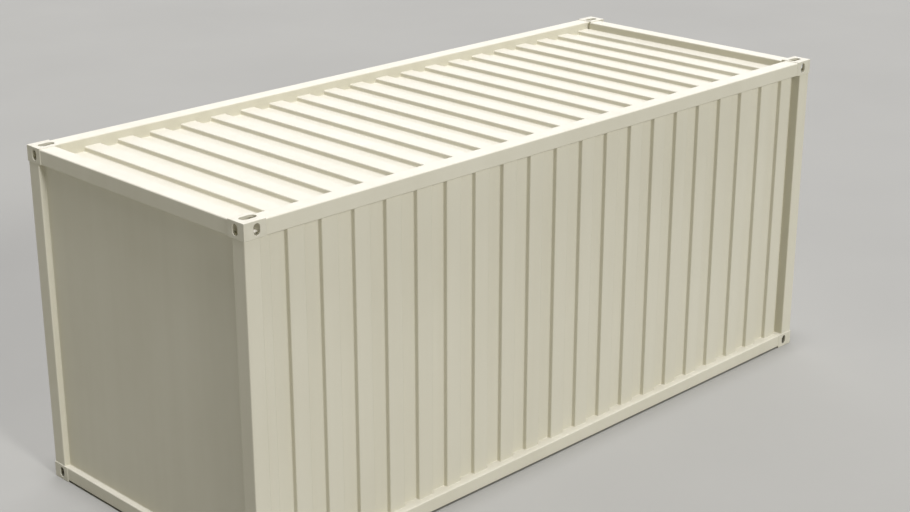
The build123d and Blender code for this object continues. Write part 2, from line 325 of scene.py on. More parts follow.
@dataclass(frozen=True)
class Plywood:
    """Sealed plywood with its long grain along the container."""

    name: str = "plywood"
    dark: Colour = (0.16, 0.085, 0.040)
    light: Colour = (0.33, 0.195, 0.105)
    grain: Noise = Noise(1.0, 6.0)
    grain_stretch: Point = (1.2, 42.0, 42.0)
    grain_share: float = 0.7
    grain_height: float = 0.0006
    figure: Noise = Noise(2.2, 3.0, 0.0, 0.3)
    roughness: Pair = (0.45, 0.65)

    def material(self) -> bpy.types.Material:
        """Make the wood.

        Returns:
            The wood as a node material.
        """
        board = NodeBoard(self.name)
        grain = board.noise(self.grain, board.stretched(self.grain_stretch))
        tone = board.total(board.spread(grain, 0.0, self.grain_share), board.varied(self.figure))
        colour = board.blend(tone, self.dark, self.light)
        rough = board.spread(grain, *self.roughness)
        return board.shade(Base_Color=colour, Roughness=rough, Normal=board.bump(grain, self.grain_height))


@dataclass(frozen=True)
class PaleFloor:
    """The studio's plain pale floor."""

    name: str = "pale_floor"
    dark: Colour = (0.308, 0.303, 0.262)
    light: Colour = (0.322, 0.317, 0.274)
    mottle: Noise = Noise(0.4, 3.0)
    roughness: float = 0.9

    def material(self) -> bpy.types.Material:
        """Make the floor's finish.

        Returns:
            The finish as a node material.
        """
        board = NodeBoard(self.name)
        colour = board.blend(board.varied(self.mottle), self.dark, self.light)
        return board.shade(Base_Color=colour, Roughness=self.roughness)


class Slot(Enum):
    """The record's material slots, each with its name in the record and its finish."""

    BODY = ("body_paint", CreamPaint())
    CASTING = ("casting_paint", CastPaint())
    BARS = ("bar_steel", ZincCoat())
    SEAL = ("seal_rubber", SealRubber())
    FLOOR = ("floor_wood", Plywood())
    UNDERFRAME = ("underframe_paint", UndersideCoat())

    def __init__(self, slot_name: str, finish: CreamPaint | Coat | ZincCoat | Plywood) -> None:
        """Keep the slot's name in the record and its finish."""
        self.slot_name = slot_name
        self.finish = finish

    @cached_property
    def material(self) -> bpy.types.Material:
        """Return the finish's material, which is made once."""
        return self.finish.material()

    def dress(self, piece: bpy.types.Object) -> None:
        """Give a piece the slot's material."""
        piece.data.materials.clear()
        piece.data.materials.append(self.material)


def dress_nodes() -> None:
    """Give every node of the frame the material of its record slot."""
    slots = {slot.slot_name: slot for slot in Slot}
    for part in frame["record"]["subparts"]:
        slots[part["material_slot"]].dress(frame["nodes"][part["node"]])
        log.info("dressed %s in %s", part["node"], part["material_slot"])


# Shapes worked out as arrays

class Axis(IntEnum):
    """The frame's three directions."""

    X = 0
    Y = 1
    Z = 2

    def others(self) -> list["Axis"]:
        """Return the two other directions."""
        return [axis for axis in Axis if axis != self]


def direction(axis: Axis, length: float = 1.0) -> Array:
    """Return the vector along an axis that has a signed length."""
    return length * np.eye(3)[axis]


def node_box(node: str) -> Box:
    """Return the lowest and the highest corner of a frame node."""
    low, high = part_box(node)
    return np.array(low), np.array(high)


def mesh_values(items: bpy.types.bpy_prop_collection, name: str, width: int, kind: type) -> Array:
    """Return one property of all the items of a mesh.

    Args:
        items: the mesh's vertices, edges, triangles or attribute values.
        name: the property's name.
        width: how many numbers an item has.
        kind: the type of the numbers.

    Returns:
        One row an item.
    """
    flat = np.empty(width * len(items), kind)
    items.foreach_get(name, flat)
    return flat.reshape(-1, width)


def grid_quads(rows: int, columns: int, ring: bool = False) -> Array:
    """Return the quads of a grid of points that is stored row by row.

    Args:
        rows: how many rows the grid has.
        columns: how many points a row has.
        ring: whether the last row joins the first.

    Returns:
        Four point numbers a quad. Each row's last point joins its first.
    """
    row, column = np.meshgrid(np.arange(rows if ring else rows - 1), np.arange(columns), indexing="ij")
    above = (row + 1) % rows
    beside = (column + 1) % columns
    near, far = row * columns, above * columns
    return np.stack([near + column, near + beside, far + beside, far + column], axis=-1).reshape(-1, 4)


def carried(profiles: Array, ring: bool = False) -> Block:
    """Return the closed surface of a profile that is carried along a path.

    Args:
        profiles: the profile's points at each place along the path, three numbers each.
        ring: whether the last place joins the first. If not, each end has a lid.

    Returns:
        The surface's points and faces.
    """
    rows, columns, _ = profiles.shape
    faces = grid_quads(rows, columns, ring).tolist()
    if not ring:
        faces += [list(range(columns)), list(range((rows - 1) * columns, rows * columns))]
    return profiles.reshape(-1, 3), faces


def slab(loops: Array) -> Block:
    """Return the closed surface of a plate: loops that run out on one side and back on the other.

    Args:
        loops: the loops' points, loop by loop, three numbers each.

    Returns:
        The plate's points and faces. At the first and last loop, quads join the two sides.
    """
    rows, count, _ = loops.shape
    near = np.arange(count // 2 - 1)
    lid = np.stack([near, near + 1, count - 2 - near, count - 1 - near], axis=-1)
    faces = np.concatenate([grid_quads(rows, count), lid, lid + (rows - 1) * count])
    return loops.reshape(-1, 3), faces.tolist()


def rounded_path(corners: Array, radius: float, steps: int, margin: float) -> Line:
    """Return a folded path with round bends.

    A bend starts r tan(turn / 2) before its corner and follows a circle of radius r through the turn. With
    the heading h, a point on the circle lies r (sin h - sin h0, cos h0 - cos h) from the bend's start,
    times the turn's sign. One more point lies a margin before and after each bend, so that the flats
    stay flat when they are shaded.

    Args:
        corners: the path's corners, two numbers each.
        radius: the radius of every bend.
        steps: how many steps a bend has.
        margin: how far before and after a bend its extra points lie.

    Returns:
        The path's points and its unit normals to the left.
    """
    runs = np.diff(corners, axis=0)
    run = runs / np.linalg.norm(runs, axis=1, keepdims=True)
    before, after = run[:-1], run[1:]
    turn = np.arctan2(before[:, 0] * after[:, 1] - before[:, 1] * after[:, 0], (before * after).sum(axis=1))
    start = corners[1:-1] - before * (radius * np.tan(np.abs(turn) / 2))[:, None]
    first = np.arctan2(before[:, 1], before[:, 0])[:, None]
    heading = first + turn[:, None] * np.linspace(0, 1, steps + 1)
    bulge = radius * np.sign(turn)[:, None]
    bend = np.stack([np.sin(heading) - np.sin(first), np.cos(first) - np.cos(heading)], axis=-1)
    bend = start[:, None] + bulge[..., None] * bend
    lead_in = bend[:, :1] - margin * before[:, None]
    lead_out = bend[:, -1:] + margin * after[:, None]
    bend = np.concatenate([lead_in, bend, lead_out], axis=1)
    heading = np.concatenate([heading[:, :1], heading, heading[:, -1:]], axis=1)
    points = np.concatenate([corners[:1], bend.reshape(-1, 2), corners[-1:]])
    ends = np.arctan2(run[[0, -1], 1], run[[0, -1], 0])
    headings = np.concatenate([ends[:1], heading.ravel(), ends[1:]])
    return points, np.stack([-np.sin(headings), np.cos(headings)], axis=-1)


def even_steps(line: Array, carried_way: Array, step: float) -> tuple[Array, Array, Array]:
    """Return a line's points at even steps along it, with a direction that is carried along.

    Args:
        line: the line's points.
        carried_way: a direction at each point.
        step: the distance from point to point.

    Returns:
        The new points, their directions at unit length, and their distances along the line.
    """
    lengths = np.concatenate([[0], np.cumsum(np.linalg.norm(np.diff(line, axis=0), axis=1))])
    places = np.linspace(0, lengths[-1], max(int(lengths[-1] / step), 1) + 1)
    both = np.concatenate([line, carried_way], axis=1)
    both = np.stack([np.interp(places, lengths, column) for column in both.T], axis=-1)
    points, way = np.split(both, 2, axis=1)
    return points, way / np.linalg.norm(way, axis=1, keepdims=True), places


def solid_boxes(node: str, digits: int = 5) -> Array:
    """Return the box of every solid in a frame node.

    Points at one place get one label. Each triangle then hands its lowest label to its points, again and
    again, until every point of a solid has the same one.

    Args:
        node: the node's name.
        digits: how many digits tell places apart.

    Returns:
        For each solid, its lowest and its highest corner.
    """
    mesh = frame["nodes"][node].data
    mesh.calc_loop_triangles()
    points = mesh_values(mesh.vertices, "co", 3, np.float32).round(digits)
    corners = mesh_values(mesh.loop_triangles, "vertices", 3, np.int32)
    places, number = np.unique(points, axis=0, return_inverse=True)
    triangles = number.reshape(-1)[corners]
    label = np.arange(len(places))
    settled = False
    while not settled:
        lower = label.copy()
        np.minimum.at(lower, triangles.ravel(), np.repeat(label[triangles].min(axis=1), 3))
        settled = (lower == label).all()
        label = lower
    solids = [places[label == one].astype(float) for one in np.unique(label)]
    return np.array([(solid.min(axis=0), solid.max(axis=0)) for solid in solids])


def joined(blocks: list[Block]) -> Block:
    """Return several blocks as one.

    Args:
        blocks: the points and faces of each.

    Returns:
        All the points and faces.
    """
    shifts = np.cumsum([0] + [len(points) for points, _ in blocks]).tolist()
    faces = [[shift + i for i in face] for (_, block), shift in zip(blocks, shifts) for face in block]
    return np.concatenate([points for points, _ in blocks]), faces


def closed(block: Block, digits: int = 6) -> Block:
    """Return a block whose points at one place are made one.

    Args:
        block: the points and faces.
        digits: how many digits tell places apart.

    Returns:
        The fewer points, and the faces on them.
    """
    points, number = np.unique(block[0].round(digits), axis=0, return_inverse=True)
    number = number.reshape(-1).tolist()
    return points, [[number[i] for i in face] for face in block[1]]


@dataclass
class Piece:
    """A new piece: closed blocks of points and faces that become one mesh on the container's body."""

    name: str
    slot: Slot
    blocks: list[Block] = field(default_factory=list)
    smooth_angle: float = math.radians(32)
    rounding: float = 0.0
    rounding_steps: int = 3

    def build(self, *replaced: str) -> None:
        """Make the mesh, turn its faces outwards, dress it and let it ride.

        Args:
            replaced: the frame nodes that it stands for.
        """
        points, faces = joined(self.blocks)
        mesh = bpy.data.meshes.new(self.name)
        mesh.from_pydata(points.tolist(), [], faces)
        outward = bmesh.new()
        outward.from_mesh(mesh)
        bmesh.ops.recalc_face_normals(outward, faces=outward.faces)
        outward.to_mesh(mesh)
        outward.free()
        mesh.shade_smooth()
        mesh.set_sharp_from_angle(angle=self.smooth_angle)
        piece = bpy.data.objects.new(self.name, mesh)
        bpy.context.scene.collection.objects.link(piece)
        if self.rounding:
            self.round_edges(piece)
        self.slot.dress(piece)
        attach(piece, BODY)
        if replaced:
            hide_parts(*replaced)
        log.info("built %s with %d faces", self.name, len(faces))

    def round_edges(self, piece: bpy.types.Object) -> None:
        """Round the sharp edges that lie on the piece's own box, and leave those inside it.

        Args:
            piece: the piece's object.
        """
        mesh = piece.data
        points = mesh_values(mesh.vertices, "co", 3, np.float32)
        ends = mesh_values(mesh.edges, "vertices", 2, np.int32)
        marks = mesh.attributes["sharp_edge"].data
        sharp = mesh_values(marks, "value", 1, bool)[:, 0]
        on_box = np.isclose(points, points.min(axis=0)) | np.isclose(points, points.max(axis=0))
        rounded = sharp & on_box.any(axis=1)[ends].all(axis=1)
        marks.foreach_set("value", sharp & ~rounded)
        weights = mesh.attributes.new("bevel_weight_edge", "FLOAT", "EDGE").data
        weights.foreach_set("value", rounded.astype(np.float32))
        bevel = piece.modifiers.new("rounding", "BEVEL")
        bevel.width = self.rounding
        bevel.segments = self.rounding_steps
        bevel.limit_method = "WEIGHT"
        bevel.harden_normals = True


# Sheets

@dataclass(frozen=True)
class Ribs:
    """A row of raised ribs: the foot of any one, the pitch, a rib's flat width and a flank's run."""

    first: float
    pitch: float
    width: float
    flank: float

    def corners(self, start: float, end: float, depth: float, edge: float) -> Array:
        """Return the corners of a path over the ribs: nought on them and minus the depth between them.

        Args:
            start: where the path starts.
            end: where the path ends.
            depth: how high the ribs are.
            edge: how near to either end no corner lies.

        Returns:
            The corners, each as a place along the path and a height.
        """
        lowest, highest = (start - self.first) / self.pitch, (end - self.first) / self.pitch
        feet = self.first + self.pitch * np.arange(math.floor(lowest), math.ceil(highest))
        along = (feet[:, None] + np.cumsum([0, self.flank, self.width, self.flank])).ravel()
        height = np.tile([-depth, 0, 0, -depth], len(feet))
        inside = (along > start + edge) & (along < end - edge)
        along, height = along[inside], height[inside]
        along = np.concatenate([[start], along, [end]])
        return np.stack([along, np.concatenate([height[:1], height, height[-1:]])], axis=-1)


@dataclass(frozen=True)
class Strip:
    """A stretch of a sheet: its two edges across the sheet, and its start and end along it."""

    levels: Pair
    start: float
    end: float


@dataclass
class FoldedSheet:
    """A steel sheet with raised ribs, bent round at its folds, in the place of a sharp-folded node.

    It runs along one axis, has its edges at two levels of another, and its ribs stand out along the third.
    """

    node: str
    along: Axis
    level: Axis
    out: Axis
    sign: float
    ribs: Ribs
    thickness: float = 0.002
    bend: float = 0.008
    bend_steps: int = 6
    bend_margin: float = 0.002
    flat_edge: float = 0.004

    def __post_init__(self) -> None:
        """Read the sheet's place from its node."""
        self.low, self.high = node_box(self.node)
        self.face = self.high[self.out] if self.sign > 0 else self.low[self.out]
        self.depth = self.high[self.out] - self.low[self.out] - self.thickness

    def whole(self) -> Strip:
        """Return the strip that is the whole sheet."""
        levels = (self.low[self.level], self.high[self.level])
        return Strip(levels, self.low[self.along], self.high[self.along])

    def outer_path(self, strip: Strip) -> Line:
        """Return the outer side's path along a strip, as places along it and heights, and its normals."""
        corners = self.ribs.corners(strip.start, strip.end, self.depth, self.flat_edge)
        return rounded_path(corners, self.bend, self.bend_steps, self.bend_margin)

    def turned(self, pairs: Array) -> Array:
        """Return pairs of numbers, along the sheet and out from it, as vectors in the frame."""
        return pairs @ np.stack([direction(self.along), direction(self.out, self.sign)])

    def placed(self, path: Array, level: float) -> Array:
        """Return the points of a path at one level, in the frame."""
        return self.turned(path) + direction(self.out, self.face) + direction(self.level, level)

    def edges(self, strip: Strip) -> list[Line]:
        """Return the outer side's lines along a strip's two edges, with their outward directions."""
        path, normals = self.outer_path(strip)
        return [(self.placed(path, level), self.turned(normals)) for level in strip.levels]

    def plate(self, strip: Strip) -> Block:
        """Return a strip as a plate: its rounded path, set back by the thickness, carried across.

        Args:
            strip: the stretch of the sheet.

        Returns:
            The plate's points and faces.
        """
        path, normals = self.outer_path(strip)
        loop = np.concatenate([path, (path - self.thickness * normals)[::-1]])
        return slab(np.stack([self.placed(loop, level) for level in strip.levels]))

    def build(self, name: str, strips: list[Strip]) -> None:
        """Make the sheet of this name from its strips."""
        Piece(name, Slot.BODY, [self.plate(strip) for strip in strips]).build(self.node)


@dataclass
class FlatSheet:
    """The flat front wall: a thin plate between posts, sill and header that bows a little."""

    node: str = "front_wall"
    name: str = "front_wall_sheet"
    steps: int = 36
    bow: float = 0.0012
    waves: tuple[Point, ...] = ((1.0, 1.0, 0.6), (2.0, 1.0, 0.3), (1.0, 3.0, 0.2), (3.0, 2.0, 0.15))

    def build(self) -> None:
        """Make the plate: each side is a grid whose points bow inwards by a sum of sine waves.

        With u and v from nought to one across and up, the bow is the sum of w sin(a pi u) sin(b pi v) over
        the waves (a, b, w), so it dies away at the edges.
        """
        low, high = node_box(self.node)
        share = np.linspace(0, 1, self.steps + 1)
        u, v = np.meshgrid(share, share, indexing="ij")
        bow = sum(w * np.sin(a * np.pi * u) * np.sin(b * np.pi * v) for a, b, w in self.waves) * self.bow
        y = low[Axis.Y] + (high[Axis.Y] - low[Axis.Y]) * u
        z = low[Axis.Z] + (high[Axis.Z] - low[Axis.Z]) * v
        outer, inner = (np.stack([x + bow, y, z], axis=-1) for x in (low[Axis.X], high[Axis.X]))
        loops = np.concatenate([outer, inner[:, ::-1]], axis=1)
        Piece(self.name, Slot.BODY, [slab(loops)]).build(self.node)


# Welds

@dataclass(frozen=True)
class Face:
    """A flat face: the axis square to it, its place on that axis, and the sign of the way off it."""

    axis: Axis
    place: float
    away: float


@dataclass
class WeldBead:
    """Rippled fillet welds: a bulging triangle carried along the corner between two faces."""

    size: float = 0.005
    bury: float = 0.001
    step: float = 0.006
    ripple: float = 0.013
    ripple_share: float = 0.12
    corner_steps: int = 4
    corner_margin_share: float = 0.25
    profile_shares: Shares = ((1.0, 0.0), (0.78, 0.46), (0.46, 0.78), (0.0, 1.0))

    def along(self, line: Array, first: Array, second: Array, ring: bool = False) -> Block:
        """Return the bead along a line.

        Its profile has points a along the first face and b along the second, in shares of the size. The size
        swells and shrinks with the sine of the distance, and the back is buried in the corner.

        Args:
            line: the corner's points.
            first: at each point, the direction away from the corner along one face.
            second: the direction away from the corner along the other face.
            ring: whether the line closes on itself.

        Returns:
            The bead's points and faces.
        """
        places, way, distance = even_steps(line, first, self.step)
        if ring:
            places, way, distance = places[:-1], way[:-1], distance[:-1]
        size = self.size * (1 + self.ripple_share * np.sin(2 * np.pi * distance / self.ripple))
        shares = np.append(self.profile_shares, np.zeros((1, 2)), axis=0)
        on_first = size[:, None] * shares[:, 0] - self.bury
        on_second = size[:, None] * shares[:, 1] - self.bury
        points = places[:, None] + on_first[..., None] * way[:, None] + on_second[..., None] * second
        return carried(points, ring)

    def across_ends(self, edges: list[Line], axis: Axis) -> list[Block]:
        """Return the beads across both ends of a sheet.

        Args:
            edges: the lines along the sheet's two edges, with their outward directions.
            axis: the axis that the sheet runs along.

        Returns:
            The bead at the sheet's start and the one at its end.
        """
        beads = []
        for end, inward in ((0, 1.0), (-1, -1.0)):
            line, outward = (np.stack([values[end] for values in both]) for both in zip(*edges))
            beads.append(self.along(line, outward, direction(axis, inward)))
        return beads

    def framing(self, box: Box, face: Face, radius: float) -> Block:
        """Return the bead around the foot of a box that stands on a face.

        Args:
            box: the box's lowest and highest corner.
            face: the face.
            radius: the radius of the box's edges.

        Returns:
            The bead's points and faces.
        """
        (left, bottom), (right, top) = (corner[face.axis.others()] for corner in box)
        middle = (left + right) / 2
        across = [middle, left, left, right, right, middle]
        up = [bottom, bottom, top, top, bottom, bottom]
        margin = self.corner_margin_share * radius
        path, normals = rounded_path(np.stack([across, up], axis=-1), radius, self.corner_steps, margin)
        return self.on_face(path, normals, face, ring=True)

    def on_face(self, path: Array, normals: Array, face: Face, ring: bool = False) -> Block:
        """Return the bead along a flat path on a face.

        Args:
            path: the path's points on the face.
            normals: the way out from what stands on the face, at each point.
            face: the face.
            ring: whether the path closes on itself.

        Returns:
            The bead's points and faces.
        """
        line = np.full((len(path), 3), face.place)
        outward = np.zeros((len(path), 3))
        line[:, face.axis.others()] = path
        outward[:, face.axis.others()] = normals
        return self.along(line, outward, direction(face.axis, face.away), ring)


# Sub-assemblies

class End(StrEnum):
    """The container's two ends."""

    FRONT = "front"
    DOOR = "door"


class Side(StrEnum):
    """The container's two long sides."""

    LEFT = "left"
    RIGHT = "right"

    @property
    def inward(self) -> float:
        """Return the sign of the way in from this side along Y."""
        return 1.0 if self is Side.LEFT else -1.0


class Level(StrEnum):
    """The frame's two levels."""

    BOTTOM = "bottom"
    TOP = "top"


@dataclass
class Shell:
    """The corrugated sides, the ribbed roof and the flat front wall."""

    rib_pitch: float = 0.2814
    rib_width: float = 0.1367
    rib_flank: float = 0.004
    first_rib_from_end: float = 0.383
    bead: WeldBead = field(default_factory=WeldBead)

    def __post_init__(self) -> None:
        """Lay out the sheets on their nodes."""
        first = cad_low.x + self.first_rib_from_end
        ribs = Ribs(first, self.rib_pitch, self.rib_width, self.rib_flank)
        self.sides = {
            side: FoldedSheet(f"{side}_side_wall", Axis.X, Axis.Z, Axis.Y, -side.inward, ribs)
            for side in Side
        }
        self.roof = FoldedSheet("roof_panel", Axis.X, Axis.Y, Axis.Z, 1.0, ribs)

    def roof_strips(self) -> list[Strip]:
        """Lay out the roof's strips.

        Returns:
            The left strip between the castings, the middle one between the headers, and the right one.
        """
        edge = self.roof.high[Axis.Y]
        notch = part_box("front_header")[1].y
        middle = (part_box("front_header")[1].x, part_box("door_header")[0].x)
        side = (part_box("front_left_top_casting")[1].x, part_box("door_left_top_casting")[0].x)
        return [Strip((-edge, -notch), *side), Strip((-notch, notch), *middle), Strip((notch, edge), *side)]

    def build(self) -> None:
        """Make the sheets in the places of their nodes and weld them in."""
        for side, sheet in self.sides.items():
            sheet.build(f"{side}_wall_sheet", [sheet.whole()])
        self.roof.build("roof_sheet", self.roof_strips())
        FlatSheet().build()
        self.weld_sides()
        self.weld_roof()
        self.weld_front()

    def weld_sides(self) -> None:
        """Weld each side to its rails, along every fold, and to its posts."""
        for side, sheet in self.sides.items():
            piece = Piece(f"{side}_wall_welds", Slot.BODY)
            edges = sheet.edges(sheet.whole())
            for (line, outward), up in zip(edges, (1.0, -1.0)):
                piece.blocks.append(self.bead.along(line, outward, direction(Axis.Z, up)))
            piece.blocks += self.bead.across_ends(edges, Axis.X)
            piece.build()

    def weld_roof(self) -> None:
        """Weld the roof to its rails, along every fold, and to its headers."""
        piece = Piece("roof_welds", Slot.BODY)
        left, middle, right = (self.roof.edges(strip) for strip in self.roof_strips())
        for (line, outward), inward in ((left[0], 1.0), (right[1], -1.0)):
            piece.blocks.append(self.bead.along(line, outward, direction(Axis.Y, inward)))
        piece.blocks += self.bead.across_ends(middle, Axis.X)
        piece.build()

    def weld_front(self) -> None:
        """Weld the front wall into its frame, at both ends of it each way."""
        low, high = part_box("front_wall")
        corners = np.array([[(low.x, y, z) for z in (low.z, high.z)] for y in (low.y, high.y)])
        outward = np.stack([direction(Axis.X, -1.0)] * 2)
        piece = Piece("front_wall_welds", Slot.BODY)
        for axis, lines in ((Axis.Y, corners.swapaxes(0, 1)), (Axis.Z, corners)):
            piece.blocks += self.bead.across_ends([(line, outward) for line in lines], axis)
        piece.build()


@dataclass
class Castings:
    """The eight corner castings: hollow, with a slot above or below and a hole in each outer side."""

    plate: float = 0.019
    skin: float = 0.016
    back: float = 0.011
    slot: Pair = (0.124, 0.0635)
    hole: Pair = (0.051, 0.079)
    hole_from_end: float = 0.1025
    hole_from_side: float = 0.0895
    edge_band: float = 0.008
    outline_points: int = 40
    rounding: float = 0.003

    def outline(self, middle: Array, opening: Pair) -> Array:
        """Return an opening's round-ended outline: a circle whose quarters are drawn apart the longer way.

        Args:
            middle: the opening's middle.
            opening: its full size each way.

        Returns:
            The outline's points, the same number in each quarter.
        """
        half = np.array(opening) / 2
        radius = half.min()
        turn = 2 * np.pi * (np.arange(self.outline_points) + 0.5) / self.outline_points
        way = np.stack([np.cos(turn), np.sin(turn)], axis=-1)
        return middle + radius * way + (half - radius) * np.sign(way)

    def holed_side(self, low: Array, high: Array, outline: Array) -> Block:
        """Return a flat rectangle with an opening in it.

        Each quarter of the outline fans out to one corner of a slightly smaller rectangle, and a narrow
        band joins that to the full one. The band takes at most half of the room beside the opening.

        Args:
            low: the rectangle's lowest corner.
            high: its highest corner.
            outline: the opening's outline.

        Returns:
            The flat points, the full corners first and the outline last, and the faces.
        """
        upper = np.array([(1, 1), (0, 1), (0, 0), (1, 0)])
        full = np.where(upper, high, low)
        from_low = np.minimum((outline.min(axis=0) - low) / 2, self.edge_band)
        from_high = np.minimum((high - outline.max(axis=0)) / 2, self.edge_band)
        smaller = np.where(upper, high - from_high, low + from_low)
        corner = np.arange(len(full))
        following = np.roll(corner, -1)
        inner, rim = len(full), len(full) + len(smaller)
        band = np.stack([corner, following, inner + following, inner + corner], axis=-1)
        number = np.arange(len(outline))
        after = np.roll(number, -1)
        quarter = number // (len(outline) // len(full))
        within = quarter == quarter[after]
        fan = np.stack([inner + quarter, rim + number, rim + after], axis=-1)
        between = np.append(fan, inner + quarter[after, None], axis=1)
        faces = band.tolist() + fan[within].tolist() + between[~within].tolist()
        return np.concatenate([full, smaller, outline]), faces

    def casting(self, size: Array) -> Block:
        """Return a casting with its end at X nought, its side at Y nought and its slot at Z nought.

        Across each axis there are a holed outer side, a holed inner side, the opening's wall between
        them, and a plain inner and outer side at the far end.

        Args:
            size: the casting's full size.

        Returns:
            The casting's points and faces.
        """
        shells = (
            (np.zeros(3), size),
            (np.array([self.skin, self.skin, self.plate]), size - (self.back, self.back, self.plate)),
        )
        middle = np.array([self.hole_from_end, self.hole_from_side, size[Axis.Z] / 2])
        blocks = []
        for axis, opening in zip(Axis, (self.hole, self.hole, self.slot)):
            flat = axis.others()
            outline = self.outline(middle[flat], opening)
            rims = []
            for low, high in shells:
                points, faces = self.holed_side(low[flat], high[flat], outline)
                near = np.full((len(points), 3), low[axis])
                near[:, flat] = points
                far = np.full((4, 3), high[axis])
                far[:, flat] = points[:4]
                blocks += [(near, faces), (far, [[0, 1, 2, 3]])]
                rims.append(near[-len(outline) :])
            blocks.append((np.concatenate(rims), grid_quads(2, len(outline)).tolist()))
        return closed(joined(blocks))

    def build(self) -> None:
        """Make the castings, each turned to its own corner, in the places of their nodes."""
        for end, side, level in product(End, Side, Level):
            corner = f"{end}_{side}_{level}"
            low, high = node_box(f"{corner}_casting")
            is_low = np.array([end is End.FRONT, side is Side.LEFT, level is Level.BOTTOM])
            points, faces = self.casting(high - low)
            points = np.where(is_low, low + points, high - points)
            piece = Piece(f"{corner}_corner", Slot.CASTING, [(points, faces)], rounding=self.rounding)
            piece.build(f"{corner}_casting")


@dataclass
class CornerWelds:
    """The beads where posts, rails and beams stand on the corner castings."""

    size: float = 0.004
    edge_radius: float = 0.009

    def build(self) -> None:
        """Run a bead around each end of every post and rail, and of the front beams."""
        bead = WeldBead(size=self.size)
        bars = [(f"{end}_{side}_post", Axis.Z) for end, side in product(End, Side)]
        bars += [(f"{side}_{level}_rail", Axis.X) for side, level in product(Side, Level)]
        bars += [("front_sill", Axis.Y), ("front_header", Axis.Y)]
        piece = Piece("corner_welds", Slot.BODY)
        for node, axis in bars:
            box = node_box(node)
            for corner, away in zip(box, (1.0, -1.0)):
                piece.blocks.append(bead.framing(box, Face(axis, corner[axis], away), self.edge_radius))
        piece.build()


@dataclass
class BeamEnds:
    """The plates that close the door sill's and header's tubes, which reach further in than the castings."""

    tube_wall: float = 0.004
    plate: float = 0.004
    set_in: float = 0.001
    bury: float = 0.0005

    def build(self) -> None:
        """Make the plates: the tube's inner outline, let into its walls, carried through the thickness."""
        piece = Piece("beam_end_plates", Slot.BODY)
        edge = self.tube_wall - self.bury
        for node in ("door_sill", "door_header"):
            low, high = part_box(node)
            near, far = low.x + edge, high.x - edge
            bottom, top = low.z + edge, high.z - edge
            outline = ((near, bottom), (far, bottom), (far, top), (near, top))
            for end, inward in ((low.y, 1.0), (high.y, -1.0)):
                places = end + inward * np.array([self.set_in, self.set_in + self.plate])
                piece.blocks.append(carried(np.array([[(x, y, z) for x, z in outline] for y in places])))
        piece.build()


